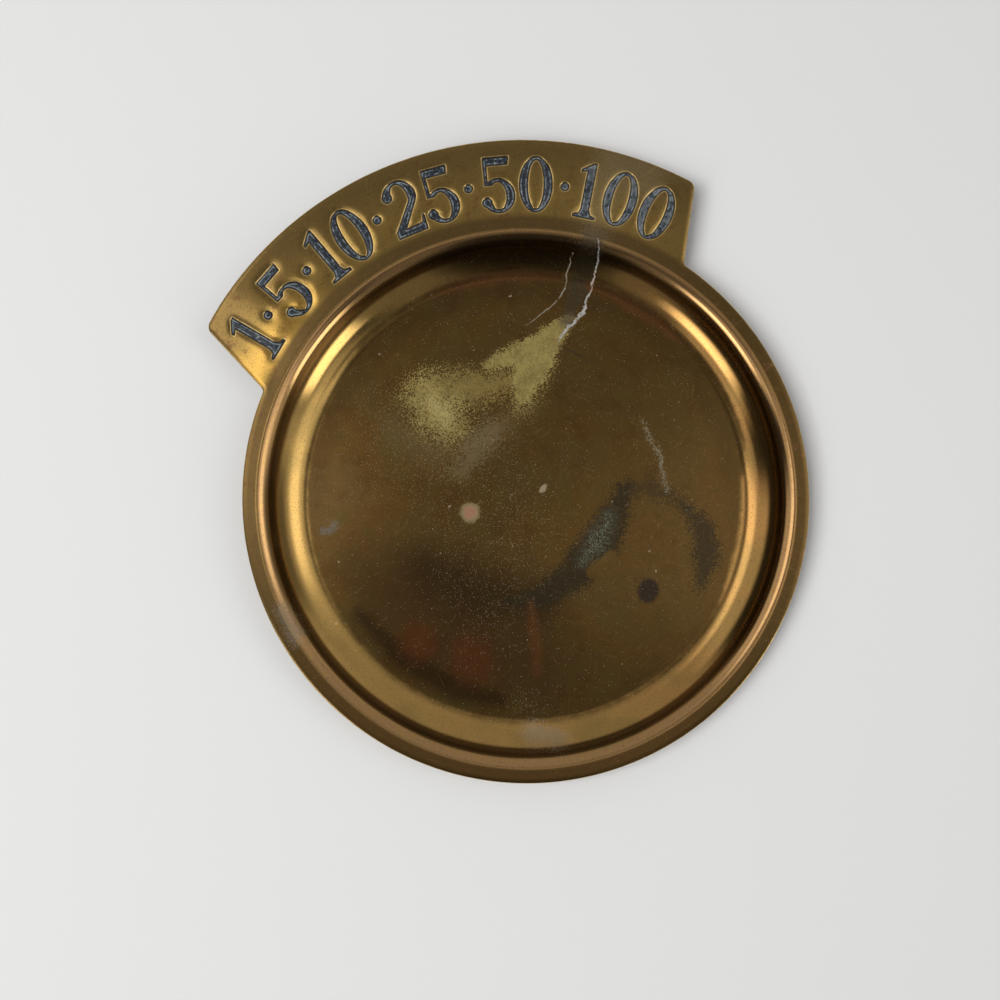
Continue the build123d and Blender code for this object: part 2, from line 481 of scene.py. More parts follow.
class Sheet:
    """Points, normals, unrolled places and faces of one mesh, gathered as they are made."""

    def __init__(self):
        self.points, self.normals, self.wear = [], [], []
        self.unrolled, self.unrolled_again = [], []
        self.faces, self.materials = [], []
        self.count = 0

    def add(self, points, normals, unrolled, wear=0.0, unrolled_again=None):
        """Adds points and returns their numbers. A point on a seam of the bake map has its second
        place there, for the faces of the first material, in unrolled_again."""
        self.points.append(points)
        self.normals.append(normals)
        self.unrolled.append(unrolled)
        self.unrolled_again.append(unrolled if unrolled_again is None else unrolled_again)
        self.wear.append(np.broadcast_to(wear, len(points)))
        self.count += len(points)
        return np.arange(self.count - len(points), self.count)

    def add_faces(self, faces, material):
        self.faces += [tuple(int(k) for k in face) for face in faces]
        self.materials += [material] * len(faces)

    def strip(self, upper, lower, material=0):
        """Faces between two rings with as many points, for rings that run clockwise from above."""
        after_upper, after_lower = np.roll(upper, -1), np.roll(lower, -1)
        self.add_faces(np.stack([upper, after_upper, after_lower, lower], 1), material)

    def build(self, name, materials):
        mesh = bpy.data.meshes.new(name)
        points = np.vstack(self.points)
        mesh.from_pydata((points * MM).tolist(), [], self.faces)
        for material in materials:
            mesh.materials.append(material)
        mesh.polygons.foreach_set("material_index", self.materials)
        mesh.polygons.foreach_set("use_smooth", [True] * len(self.faces))
        layer = mesh.uv_layers.new(name="OFBake")
        corner = np.zeros(len(mesh.loops), np.int32)
        mesh.loops.foreach_get("vertex_index", corner)
        of_first = np.repeat(np.array(self.materials) == 0, [len(face) for face in self.faces])
        places = np.where(of_first[:, None], np.vstack(self.unrolled_again)[corner],
                          np.vstack(self.unrolled)[corner])
        layer.data.foreach_set("uv", places.ravel())
        wear = mesh.attributes.new("wear", "FLOAT", "POINT")
        wear.data.foreach_set("value", np.concatenate(self.wear).astype(np.float32))
        mesh.normals_split_custom_set_from_vertices(np.vstack(self.normals).tolist())
        mesh.update()
        made = bpy.data.objects.new(name, mesh)
        bpy.context.scene.collection.objects.link(made)
        return made


def lifted(points, heights):
    return np.column_stack([points, np.broadcast_to(heights, len(points))])


def on_top_map(points, pushed=0.0):
    """Places on the bake map with the dish's wall unrolled outwards."""
    radius = np.hypot(*points.T)
    push = np.broadcast_to(pushed, len(points)) / np.maximum(radius, 1e-6)
    return (points * (1 + push[:, None]) - MAP_CENTRE) * TOP_SCALE + TOP_PLACE


def on_under_map(points):
    return (points * [-1, 1] - MAP_CENTRE) * UNDER_SCALE + UNDER_PLACE


def dish_profile():
    """Radius, height, tilt and unrolled radius along the top of the dish, from the floor's edge out."""
    bends = (
        (np.linspace(0, 1, BEND_RINGS), BEND_RADIUS, floor_radius, SHEET, floor_radius),
        (np.linspace(1, 0, SHOULDER_RINGS), -SHOULDER_RADIUS, shoulder_start, plate_top, dish_run),
    )
    return [
        (start + bend * math.sin(tilt), level + bend * (1 - math.cos(tilt)), tilt, unrolled + bend * tilt)
        for shares, bend, start, level, unrolled in bends
        for tilt in shares * WALL_SLOPE
    ]


def make_tray(materials):
    sheet = Sheet()
    turns = -2 * math.pi * np.arange(COLUMNS) / COLUMNS + math.pi / 2
    rays = np.stack([np.cos(turns), np.sin(turns)], 1)
    flat_rays = lifted(rays, 0)
    up = np.array([0, 0, 1.0])

    def dish_rings(depth, side, on_map):
        """The rings of the dish's top, side 1, or that depth below them, side -1."""
        made = []
        for radius, height, tilt, unrolled in dish_profile():
            points = rays * (radius + depth * math.sin(tilt))
            heights = height - depth * math.cos(tilt) + unevenness(points)
            normals = side * (math.cos(tilt) * up - math.sin(tilt) * flat_rays)
            made.append(sheet.add(lifted(points, heights), normals, on_map(rays * unrolled)))
        return made

    top_dish = dish_rings(0, 1, on_top_map)
    under_dish = dish_rings(SHEET, -1, on_under_map)
    for inner, outer in zip(top_dish, top_dish[1:]):
        sheet.strip(inner, outer)
    for inner, outer in zip(under_dish, under_dish[1:]):
        sheet.strip(outer, inner, 1)

    # Floor
    loose = grid_points(FLOOR_STEP, floor_radius)
    loose = loose[np.hypot(*loose.T) < floor_radius - LOOSE_ROOM]
    faces = triangles_over([rays * floor_radius], loose, lambda middles: np.ones(len(middles), bool))
    top_loose = sheet.add(lifted(loose, SHEET), np.tile(up, (len(loose), 1)), on_top_map(loose))
    under_loose = sheet.add(lifted(loose, 0), np.tile(-up, (len(loose), 1)), on_under_map(loose))
    sheet.add_faces(np.concatenate([top_dish[0], top_loose])[faces], 0)
    sheet.add_faces(np.concatenate([under_dish[0], under_loose])[faces[:, ::-1]], 1)

    # Plate, top and underside
    inner_ring = rays * shoulder_start
    grid = grid_points(PLATE_STEP, TAB_RADIUS)
    grid = grid[np.hypot(*grid.T) > shoulder_start + LOOSE_ROOM]
    grid = grid[is_inside(grid, [outline])]
    grid = grid[edge_distance(grid) > ROLL_WIDTH + GRID_ROOM]
    apart = figure_distance(grid)

    def on_plate(middles):
        return is_inside(middles, [outline]) & (np.hypot(*middles.T) > shoulder_start - RING_TOLERANCE)

    def plate_side(offsets, insets, height, side, material, first_ring):
        """One side of the plate from the dish out to the first of the edge's rings."""
        stamp_lines = np.vstack([figure.lines(offsets) for figure in figures])
        stamp_lines = stamp_lines[edge_distance(stamp_lines) > ROLL_WIDTH + LINE_ROOM]
        clear = (apart > max(offsets) + OUTER_ROOM) | (apart < min(offsets) - INNER_ROOM)
        edge_lines = np.vstack([outline - inset * outline_normals for inset in insets[1:]])
        boundary = outline - insets[0] * outline_normals
        loose = np.vstack([edge_lines, stamp_lines, grid[clear]])
        faces = triangles_over([boundary, inner_ring], loose, on_plate)
        made = []
        for points in (boundary, loose):
            heights = height(points)
            normals = side * normals_of(height, points)
            if side > 0:
                unrolled = on_top_map(points, unrolled_shift)
                wear = bump((figure_distance(points) - STAMP_START) / LIP_WEAR)
            else:
                unrolled = on_under_map(points * (1 + unrolled_shift / np.hypot(*points.T))[:, None])
                wear = 0.0
            on_seam = side < 0 and points is boundary
            seam = on_top_map(outline + LOWER_ROUND_END * outline_normals, unrolled_shift)
            made.append(sheet.add(lifted(points, heights), normals, unrolled, wear,
                                  seam if on_seam else None))
        numbers = np.concatenate([made[0], first_ring, made[1]])
        sheet.add_faces(numbers[faces if side > 0 else faces[:, ::-1]], material)
        return made[0]

    top_edge = plate_side(STAMP_OFFSETS, TOP_INSETS, top_height, 1, 0, top_dish[-1])
    under_edge = plate_side(BACK_OFFSETS, UNDER_INSETS, under_height, -1, 1, under_dish[-1])

    # Cut edge
    lean = math.atan(2 * ROLL_DROP / ROLL_WIDTH * (1 - EDGE_INSET / ROLL_WIDTH))
    edge_round = EDGE_INSET / (1 - math.sin(lean))
    start_heights = top_height(outline - EDGE_INSET * outline_normals)
    under_heights = under_height(outline - UNDER_ROUND * outline_normals)
    flat_normals = lifted(outline_normals, 0)
    rings = [top_edge]
    for share in EDGE_SHARES:
        tilt = lean + share * (math.pi / 2 - lean)
        inset = EDGE_INSET - edge_round * (math.sin(tilt) - math.sin(lean))
        heights = start_heights - edge_round * (math.cos(lean) - math.cos(tilt))
        points = outline - inset * outline_normals
        normals = math.sin(tilt) * flat_normals + math.cos(tilt) * up
        unrolled = on_top_map(points + share * UPPER_ROUND_END * outline_normals, unrolled_shift)
        rings.append(sheet.add(lifted(points, heights), normals, unrolled, EDGE_WEAR))
    for share in UNDER_SHARES:
        tilt = share * math.pi / 2
        inset = UNDER_ROUND * (1 - math.cos(tilt))
        heights = under_heights + UNDER_ROUND * (1 - math.sin(tilt))
        points = outline - inset * outline_normals
        normals = math.cos(tilt) * flat_normals - math.sin(tilt) * up
        out = CUT_END + share * (LOWER_ROUND_END - CUT_END)
        unrolled = on_top_map(outline + out * outline_normals, unrolled_shift)
        rings.append(sheet.add(lifted(points, heights), normals, unrolled, UNDER_EDGE_WEAR))
    for upper, lower in zip(rings, [*rings[1:], under_edge]):
        sheet.strip(upper, lower)
    return sheet.build("pressed_tray", materials)


def make_fill(figure, material):
    """A slab of enamel with a rounded top, whose sides are hidden in the recess's wall."""
    sheet = Sheet()
    span = (figure.high - figure.low).max() + FILL_MARGIN
    middle = (figure.high + figure.low) / 2
    rim = figure.rings
    inner = figure.filled(FILL_STEP)
    inner = inner[figure.distance(inner) < FILL_INSIDE]
    loose = np.vstack([figure.lines(FILL_OFFSETS), inner])

    def on_fill(middles):
        return is_inside(middles, rim)

    def fill_height(points):
        depth = np.clip(-figure.distance(points) / CROWN_RUN, 0, 1)
        return plate_height(points) - FILL_DROP + FILL_CROWN * (1 - (1 - depth) ** 2)

    def on_fill_map(points, side):
        return (points - middle) * [side, 1] / span * FILL_SCALE + FILL_PLACES[side]

    faces = triangles_over(rim, loose, on_fill)
    numbers = []
    for points in (*rim, loose):
        normals = normals_of(fill_height, points)
        # Nearness to the edge, which places the enamel's painted shade and painted highlight
        edge = bump(figure.distance(points) / FILL_EDGE)
        places = lifted(points, fill_height(points))
        numbers.append(sheet.add(places, normals, on_fill_map(points, 1), edge))
    sheet.add_faces(np.concatenate(numbers)[faces], 0)
    under = []
    for ring in rim:
        places = lifted(ring, plate_height(ring) - FILL_FOOT)
        normals = np.tile([0, 0, -1.0], (len(ring), 1))
        under.append(sheet.add(places, normals, on_fill_map(ring, -1)))
    faces = triangles_over(rim, np.zeros((0, 2)), on_fill)
    sheet.add_faces(np.concatenate(under)[faces[:, ::-1]], 0)
    for upper, lower in zip(numbers, under):
        sheet.strip(upper, lower)
    made = sheet.build(figure.node.replace("_fill_", "_enamel_"), [material])
    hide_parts(figure.node)
    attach(made, "root")


# Materials


class Wiring:
    """The node tree of a material or world, with one short call for each kind of node that it needs."""

    def __init__(self, owner):
        owner.use_nodes = True
        self.tree = owner.node_tree
        self.tree.nodes.clear()

    def node(self, kind, settings=None, **inputs):
        made = self.tree.nodes.new(kind)
        for key, value in (settings or {}).items():
            setattr(made, key, value)
        for key, value in inputs.items():
            self.plug(made.inputs[key], value)
        return made

    def plug(self, socket, value):
        if isinstance(value, bpy.types.NodeSocket):
            self.tree.links.new(value, socket)
        else:
            socket.default_value = value

    def math(self, operation, *values):
        made = self.node("ShaderNodeMath", {"operation": operation})
        for socket, value in zip(made.inputs, values):
            self.plug(socket, value)
        return made.outputs[0]

    def vector(self, operation, *values):
        made = self.node("ShaderNodeVectorMath", {"operation": operation})
        for socket, value in zip(made.inputs, values):
            self.plug(socket, value)
        return made.outputs["Value" if operation in ("LENGTH", "DOT_PRODUCT") else "Vector"]

    def scaled(self, vector, factor):
        made = self.node("ShaderNodeVectorMath", {"operation": "SCALE"}, Scale=factor)
        self.plug(made.inputs[0], vector)
        return made.outputs[0]

    def radius(self, coords):
        return self.vector("LENGTH", self.vector("MULTIPLY", coords, (1, 1, 0)))

    def along(self, coords, direction):
        return self.vector("DOT_PRODUCT", coords, direction)

    def attribute(self, name):
        return self.node("ShaderNodeAttribute", {"attribute_name": name}).outputs["Fac"]

    def ramp(self, value, low, high):
        """0 at low and 1 at high with an S-shaped way between. low may be the larger."""
        settings = {"interpolation_type": "SMOOTHSTEP", "clamp": False}
        inputs = {
            "From Min": min(low, high), "From Max": max(low, high),
            "To Min": float(low > high), "To Max": float(low < high),
        }
        return self.node("ShaderNodeMapRange", settings, Value=value, **inputs).outputs["Result"]

    def band(self, value, low, high, soft):
        """1 between low and high, 0 outside them."""
        rises = self.ramp(value, low - soft, low + soft)
        return self.both(rises, self.ramp(value, high + soft, high - soft))

    def both(self, first, *others):
        for other in others:
            first = self.math("MULTIPLY", first, other)
        return first

    def noise(self, coords, size, detail=2.0, rough=0.5):
        """Cloudy noise from 0 to 1, mostly near 0.5, whose clouds are about size millimetres across."""
        inputs = {"Scale": 1 / size, "Detail": detail, "Roughness": rough}
        return self.node("ShaderNodeTexNoise", Vector=coords, **inputs).outputs["Fac"]

    def warped(self, coords, size, reach):
        """The coordinates pushed about by up to reach millimetres, for ragged outlines."""
        push = self.node("ShaderNodeTexNoise", Vector=coords, Scale=1 / size, Detail=4.0).outputs["Color"]
        push = self.vector("SUBTRACT", push, (0.5, 0.5, 0.5))
        return self.vector("ADD", coords, self.scaled(push, 2 * reach))

    def mapped(self, coords, centre, lengths, angle):
        """The coordinates from a centre, turned about Z and divided by a length along each axis."""
        inputs = {"Location": (*centre, 0), "Rotation": (0, 0, math.radians(angle)), "Scale": lengths}
        made = self.node("ShaderNodeMapping", {"vector_type": "TEXTURE"}, Vector=coords, **inputs)
        return made.outputs[0]

    def spot(self, coords, centre, widths, angle=0.0):
        """Distance from an oval's middle, 1 at its edge."""
        return self.vector("LENGTH", self.mapped(coords, centre, (*widths, FLAT), angle))

    def specks(self, coords, spacing, radius, share):
        """Round specks up to that radius, one for the given share of cells that far apart."""
        cells = self.node("ShaderNodeTexVoronoi", {"feature": "F1"}, Vector=coords, Scale=1 / spacing)
        lot = self.node("ShaderNodeSeparateColor", Color=cells.outputs["Color"])
        chosen = self.math("LESS_THAN", lot.outputs["Red"], share)
        least = LEAST_SPECK * radius / spacing
        size = self.math("MULTIPLY_ADD", lot.outputs["Green"], radius / spacing - least, least)
        edge = self.math("DIVIDE", cells.outputs["Distance"], size)
        return self.both(self.ramp(edge, *SPECK_EDGE), chosen)

    def stippled(self, distance, reach, grain):
        """A patch that breaks up into grains. It is whole where distance is -reach, half there at 0 and
        gone at reach."""
        return self.ramp(self.math("MULTIPLY_ADD", distance, -GRAIN_SPREAD / reach, grain), *GRAIN_EDGE)

    def scratches(self, coords, angle, length, width, threshold):
        """Fine straight streaks in one direction."""
        streaks = self.noise(self.mapped(coords, (0, 0), (length, width, length), angle), 1.0, 1.0)
        return self.ramp(streaks, threshold, threshold + SCRATCH_SOFTNESS)

    def beyond(self, coords, *lines):
        """Distance outside lines of points, each with its half width there, below 0 inside them."""
        flat = self.vector("MULTIPLY", coords, (1, 1, 0))
        nearest = None
        for (*start, first), (*end, last) in [pair for line in lines for pair in zip(line, line[1:])]:
            along = Vector((*end, 0)) - Vector((*start, 0))
            away = self.vector("SUBTRACT", flat, (*start, 0))
            share = self.vector("DOT_PRODUCT", away, along / along.length_squared)
            share = self.math("MINIMUM", self.math("MAXIMUM", share, 0.0), 1.0)
            gap = self.vector("LENGTH", self.vector("SUBTRACT", away, self.scaled(along, share)))
            distance = self.math("SUBTRACT", gap, self.math("MULTIPLY_ADD", share, last - first, first))
            nearest = distance if nearest is None else self.math("MINIMUM", nearest, distance)
        return nearest

    def mix(self, factor, first, second):
        """A colour between two colours, each three numbers or a socket."""
        made = self.node("ShaderNodeMix", {"data_type": "RGBA"})
        self.plug(made.inputs[0], factor)
        for key, colour in ((6, first), (7, second)):
            self.plug(made.inputs[key], (*colour, 1) if isinstance(colour, tuple) else colour)
        return made.outputs[2]

    def blend(self, factor, first, second):
        """A number between two numbers."""
        made = self.node("ShaderNodeMix", {"data_type": "FLOAT"})
        for key, value in ((0, factor), (2, first), (3, second)):
            self.plug(made.inputs[key], value)
        return made.outputs[0]


FLAT = 1000  # a length so great that height doesn't count
LEAST_SPECK = 0.3  # as a share of the largest
SPECK_EDGE = 1.15, 0.75
GRAIN_SPREAD = 0.25
GRAIN_EDGE = 0.47, 0.56
SCRATCH_SOFTNESS = 0.05
LACQUER = 0.14
LACQUER_ROUGHNESS = 0.12


class Finish:
    """A surface built up in layers. Each layer lies where all its signals are in their spans. It covers a
    share of what is below, and has a colour and, where they change, a roughness and how metallic it is."""

    def __init__(self, name, colour, rough, metal):
        self.material = bpy.data.materials.new(name)
        self.wiring = Wiring(self.material)
        coords = self.wiring.node("ShaderNodeTexCoord").outputs["Object"]
        self.signals = {"place": self.wiring.scaled(coords, 1 / MM)}
        self.colour, self.rough, self.metal = colour, rough, metal

    def signal(self, name):
        """A signal by its name, made as SIGNALS says when it is first needed."""
        if name not in self.signals:
            make, source, *settings = SIGNALS[name]
            self.signals[name] = make(self.wiring, self.signal(source), *settings)
        return self.signals[name]

    def within(self, name, span):
        """How far a signal is in its span. Two numbers are where the layer starts and where it is full,
        three are its two edges and their softness, and one is the reach of an edge that breaks up into
        grains. With no number the signal itself says how far."""
        signal = self.signal(name)
        if len(span) == 0:
            return signal
        if len(span) == 1:
            return self.wiring.stippled(signal, *span, self.signal("grain"))
        return (self.wiring.ramp if len(span) == 2 else self.wiring.band)(signal, *span)

    def mask(self, spans, share=1):
        masks = [self.within(name, span) for name, span in spans.items()]
        return self.wiring.both(*masks, *([share] if share < 1 else []))

    def tone(self, colour, *layers):
        """A colour that drifts into others where their layers lie."""
        for spans, share, other in layers:
            colour = self.wiring.mix(self.mask(spans, share), colour, other)
        return colour

    def lay(self, spans, share, colour, rough=None, metal=None):
        """Adds a layer. Its colour is three numbers, or a colour and the layers it drifts into."""
        w, mask = self.wiring, self.mask(spans, share)
        if isinstance(colour[0], tuple):
            colour = self.tone(*colour)
        self.colour = w.mix(mask, self.colour, colour)
        if rough is not None:
            self.rough = w.blend(mask, self.rough, rough)
        if metal is not None:
            self.metal = w.blend(mask, self.metal, metal)

    def done(self, height):
        """The material, with a fine relief of that height in millimetres."""
        relief = self.wiring.node("ShaderNodeBump", Height=height, Distance=MM, Strength=1.0)
        inputs = {
            "Base Color": self.colour, "Roughness": self.rough, "Metallic": self.metal,
            "Coat Weight": LACQUER, "Coat Roughness": LACQUER_ROUGHNESS,
            "Normal": relief.outputs["Normal"],
        }
        shader = self.wiring.node("ShaderNodeBsdfPrincipled", **inputs)
        self.wiring.node("ShaderNodeOutputMaterial", Surface=shader.outputs[0])
        return self.material


# What each signal is made by, what it is made from, and its settings: for warped coordinates and noise
# their size first, for a spot its middle and half widths, for specks their spacing and radius and the
# share of places with one, and for scratches their angle, length, width and threshold
SIGNALS = {
    "ragged": (Wiring.warped, "place", 3.0, 1.0),
    "frayed": (Wiring.warped, "ragged", 0.8, 0.5),
    "curved": (Wiring.warped, "place", 6.0, 1.2),
    "radius": (Wiring.radius, "place"),
    "across": (Wiring.along, "place", (0.956, -0.294, 0)),  # to the photograph's right
    "rise": (Wiring.along, "place", (0.294, 0.956, 0)),  # and to its top
    "clouds": (Wiring.noise, "place", 16.0, 3.0),
    "patches": (Wiring.noise, "place", 6.0, 4.0, 0.62),
    "small_clouds": (Wiring.noise, "place", 2.2, 4.0, 0.6),
    "grain": (Wiring.noise, "place", 0.28, 2.0, 0.6),
    "broad_waves": (Wiring.noise, "place", 9.0, 1.0),
    "ripples": (Wiring.noise, "place", 1.2, 1.0),
    "dark_spot": (Wiring.spot, "frayed", (20.1, -28.3), (2.4, 2.4)),
    # Two reddish patches on the lower left of the floor
    "left_glow": (Wiring.spot, "ragged", (-33.2, -23.8), (4.0, 4.5)),
    "right_glow": (Wiring.spot, "ragged", (-22.9, -31.4), (4.6, 5.6)),
    "pink_spot": (Wiring.spot, "frayed", (-13.3, 0.8), (2.2, 2.2)),
    "pale_spot": (Wiring.spot, "frayed", (4.4, 1.1), (1.1, 0.8), 30),
    "fine_specks": (Wiring.specks, "place", 1.9, 0.17, 0.3),
    "large_specks": (Wiring.specks, "frayed", 4.6, 0.34, 0.25),
    "pits": (Wiring.specks, "place", 1.3, 0.16, 0.3),
    "back_clouds": (Wiring.noise, "place", 12.0, 5.0, 0.6),
    "back_patches": (Wiring.noise, "place", 2.4, 4.0, 0.65),
    "back_grain": (Wiring.noise, "place", 0.5, 2.0),
    "back_ripples": (Wiring.noise, "place", 1.8, 3.0),
    "along_x": (Wiring.along, "place", (1, 0, 0)),
    "flecks": (Wiring.noise, "place", 0.9, 4.0, 0.7),
    "gloss_clouds": (Wiring.noise, "place", 1.1, 3.0, 0.6),
    "wear_clouds": (Wiring.noise, "place", 1.4, 4.0, 0.6),
    "chips": (Wiring.noise, "place", 0.9, 3.0, 0.6),
    "brush_marks": (Wiring.noise, "place", 0.6, 2.0, 0.6),
}

# The distances from stains, and from areas of painted shade and painted highlight, are signals too.
# Each follows one line or more, a row of X, Y and half width.
STAINS = {
    "place": {
        # Painted shade: the floor darker over its lower left, and darkest along the next two lines
        "shaded_floor": [((-38, -8, 7), (-26, -26, 9), (-10, -36, 7))],
        "lower_left_dark": [((-27, -8, 3.5), (-17, -17, 5), (-4, -24, 3))],
        "dark_arc": [((-43.8, -14.1, 0.6), (-37.7, -26.3, 1.5), (-27.7, -36.7, 1.5), (-19.5, -41.7, 0.8))],
        # A painted highlight along the left end of the tab
        "tab_glow": [(
            (-53, 44, 2), (-48.5, 41.5, 3.4), (-44.5, 47, 2.8), (-40, 51.5, 1.8),
            (-34, 56, 0.5),
        )],
    },
    "ragged": {
        "halo": [((-24, 24, 3.5), (-17, 16, 5), (-4, 16, 4.5), (7, 20, 2.5))],
        "haze": [((-2.5, 17.5, 2), (-8, 14, 3), (-12.5, 10, 2))],
        "right_blot": [
            ((21.8, 36.6, 1), (15.8, 33.4, 3.2), (10.2, 29.2, 4.6), (6, 22.6, 2.2)),
            ((13, 32.4, 2.8), (5, 31.8, 2.4), (0.4, 31.7, 1)),
        ],
        "thin_crust": [(
            (11.5, 37.9, 0), (15.1, 39, 0.08), (19.2, 40.5, 0.12), (22.5, 43.2, 0.15),
            (26.5, 50.4, 0.08),
        )],
        "crescent_hole": [((14.5, -18.3, 1.2), (9.5, -20.6, 1.5))],
        "red_streaks": [
            ((-6.5, -23.4, 0.6), (-7.8, -31.2, 1.2), (-9.5, -38.3, 0.9)),
            ((-8, 51, 0.3), (-2.6, 51.4, 1), (10.9, 50.4, 1.6), (22.1, 46.6, 1)),
            ((28, 42.6, 0.6), (30.8, 40.5, 1.2), (40.2, 31.1, 1.4), (45.1, 23.6, 0.4)),
        ],
        "dust": [((-24, 21, 6), (-12, 10, 9), (-8, -4, 9), (-14, -18, 7))],
        "dust_at_foot": [((-16, -41, 1.5), (-13.5, -47, 3.5), (-11.5, -53, 5))],
    },
    "frayed": {
        "blot_bridge": [
            ((-13, 30, 4.2), (-4, 27.6, 4.2), (4, 26.5, 2.4)),
            ((4.5, 20.5, 1.4), (9.5, 23, 1), (14, 27.8, 0.6)),
        ],
        "left_blot": [((-15.5, 29.5, 4.2), (-13.5, 25.2, 5.6), (-12, 22, 4.4))],
        "blot_core": [((-14, 26.5, 1.2), (-12.5, 24, 2))],
        "drip": [(
            (20.8, 36, 1.5), (23.5, 39.5, 1.9), (26.5, 43.5, 2.5), (29.5, 48.5, 3), (30.2, 50, 3.2),
        )],
        "drip_veil": [((32, 53, 3.4), (35.5, 59, 3.6), (41, 66, 5), (46, 62, 5.5))],
        "crust": [(
            (17.9, 32.4, 0.06), (19, 33.5, 0.16), (22, 35.4, 0.32), (25.3, 36.8, 0.36),
            (26.6, 39.2, 0.2), (28.3, 41.4, 0.16), (31.5, 46.8, 0.12), (32.4, 51.5, 0.04),
        )],
        "dark_line": [((17.8, 31.2, 0.12), (21, 28.4, 0.16), (23.2, 25.6, 0.04))],
        "arch": [((21.5, -4.5, 2.2), (27, -5.6, 2.2), (31.5, -9, 1.6), (34.5, -13.5, 1.6))],
        "right_patch": [((34.5, -13, 1.4), (36.6, -19, 2.8), (35.6, -25, 3.1), (31.8, -30.5, 1.2))],
        "crescent": [(
            (22.5, -4.5, 1.5), (18.5, -9, 3.2), (13.5, -14, 4.7), (5.5, -19.5, 4),
            (-2.5, -22.3, 2.8), (-12, -21.5, 0.8),
        )],
        "teal": [((17, -9.5, 1.2), (12.5, -14, 2.6), (8, -17.5, 1))],
        "streak": [((30.6, 9.5, 0.1), (32, 1, 0.45), (31.2, -8, 0.15))],
        "smear": [((-46.5, 6.4, 0.6), (-43.5, 6.9, 0.9))],
        "flange_wear": [((-59.5, -7.5, 1.4), (-58.3, -14, 1.9))],
        "bottom_dust": [((-14.5, -51, 2.4), (-9, -54, 1.8))],
    },
}
for source, stains in STAINS.items():
    for stain, lines in stains.items():
        SIGNALS[stain] = (Wiring.beyond, source, *lines)

FIBRE_ANGLES = (35, 100, 160)
SCRATCHES = {20: 0.7, 68: 0.72, -35: 0.71, -80: 0.73}  # angles and thresholds
BACK_ANGLES = (12, 75, -40)
for angle in FIBRE_ANGLES:
    SIGNALS[f"fibres_{angle}"] = (Wiring.scratches, "curved", angle, 3.0, 0.1, 0.77)
for angle, threshold in SCRATCHES.items():
    SIGNALS[f"scratches_{angle}"] = (Wiring.scratches, "place", angle, 8.0, 0.14, threshold)
for angle in BACK_ANGLES:
    SIGNALS[f"back_scratches_{angle}"] = (Wiring.scratches, "place", angle, 14.0, 0.2, 0.68)

POLISHED = (0.62, 0.36, 0.11)
# Painted shade, on the floor and in a ring round the wall
SHADE_BROWN = (0.1, 0.052, 0.016)
GRIME = (0.06, 0.04, 0.022)
WORN_GREY = (0.14, 0.13, 0.105)
DUST = (0.42, 0.37, 0.28), 0.8, 0.0
KHAKI = ((0.21, 0.16, 0.045), ({"mottle": (0.8, 1.2)}, 1, (0.36, 0.28, 0.085)))
# The flange's brown tone, with painted light: lighter towards the bottom, and painted shade towards the
# right
FLANGE_TONE_AND_SHADE = (
    (0.2, 0.12, 0.038),
    ({"rise": (-20, -58)}, 1, (0.29, 0.155, 0.046)),
    ({"across": (20, 60)}, 1, (0.12, 0.068, 0.018)),
)
# The tab's brass tone, with painted shade outwards and towards the right
TAB_TONE_AND_SHADE = (
    (0.42, 0.265, 0.07),
    ({"radius": (66, 79)}, 1, (0.28, 0.175, 0.054)),
    ({"across": (18, 52)}, 0.6, (0.2, 0.125, 0.036)),
)
PINK_TONE = ((0.36, 0.17, 0.11), ({"pink_spot": (0.3, 0.95)}, 1, (0.25, 0.21, 0.1)))

# The layers of the brass's face, from the metal up, among them painted shade and a painted highlight. Each
# is its signals with their spans, its share, its colour, its roughness and how metallic it is.
BRASS_TONES = (
    ({"across": (0, 50)}, 0.8, (0.62, 0.32, 0.095)),
    ({"across": (0, -50)}, 0.8, (0.66, 0.41, 0.12)),
    ({"clouds": (0.48, 0.66)}, 0.45, (0.36, 0.25, 0.075), 0.15),
    ({"floor": ()}, 1, (0.2, 0.116, 0.032), 0.17),
    ({"floor": (), "clouds": (0.42, 0.6)}, 0.7, (0.21, 0.105, 0.023)),
    ({"floor": (), "patches": (0.5, 0.66)}, 0.55, (0.17, 0.115, 0.026), 0.22),
    ({"floor": (), "patches": (0.47, 0.34)}, 0.5, (0.15, 0.072, 0.018)),
    # Painted shade: the floor darker near its edge towards the top
    ({"floor": (), "radius": (43, 48), "rise": (-16, 6)}, 0.5, (0.1, 0.055, 0.017)),
    # Painted shade: the floor darker towards the right
    ({"floor": (), "across": (-2, 34)}, 0.5, (0.12, 0.066, 0.016)),
    # Painted shade: the floor darker over its lower left
    ({"floor": (), "shaded_floor": (12, -8), "radius": (50, 43)}, 0.75, SHADE_BROWN, 0.24),
    # Painted shade: the darkest patch and arc on the floor's lower left
    ({"floor": (), "dark_floor": ()}, 1, (0.055, 0.028, 0.009), 0.2),
    # Painted shade: a dark ring round the steep part of the wall, a painted dark reflection
    ({"radius": (56.2, 58.2, 0.3)}, 0.7, SHADE_BROWN, 0.24),
    ({"radius": (58.2, 60.4, 0.5), "small_clouds": (0.2, 0.5)}, 1, (0.6, 0.345, 0.14)),
    # Painted shade: the top of the wall near black, a painted dark reflection
    ({"radius": (53.2, 58.5, 0.5), "rise": (50, 54.5)}, 0.85, (0.05, 0.03, 0.012), 0.3),
    # The flange's tone, with painted light towards the bottom and painted shade towards the right
    ({"radius": (60.2, 60.8)}, 1, FLANGE_TONE_AND_SHADE, 0.2),
    # The tab's tone, with painted shade outwards and towards the right
    ({"radius": (62.6, 64.6)}, 1, TAB_TONE_AND_SHADE, 0.16),
    # A painted highlight along the left end of the tab
    ({"radius": (62.6, 64.6), "tab_glow": (5.5, -1)}, 1, (0.7, 0.41, 0.09), 0.14),
    ({"radius": (60.4, 61), "small_clouds": (0.54, 0.7)}, 0.55, (0.22, 0.1, 0.04), 0.26),
    ({"grain": (0.53, 0.72)}, 0.45, GRIME, 0.28),
)
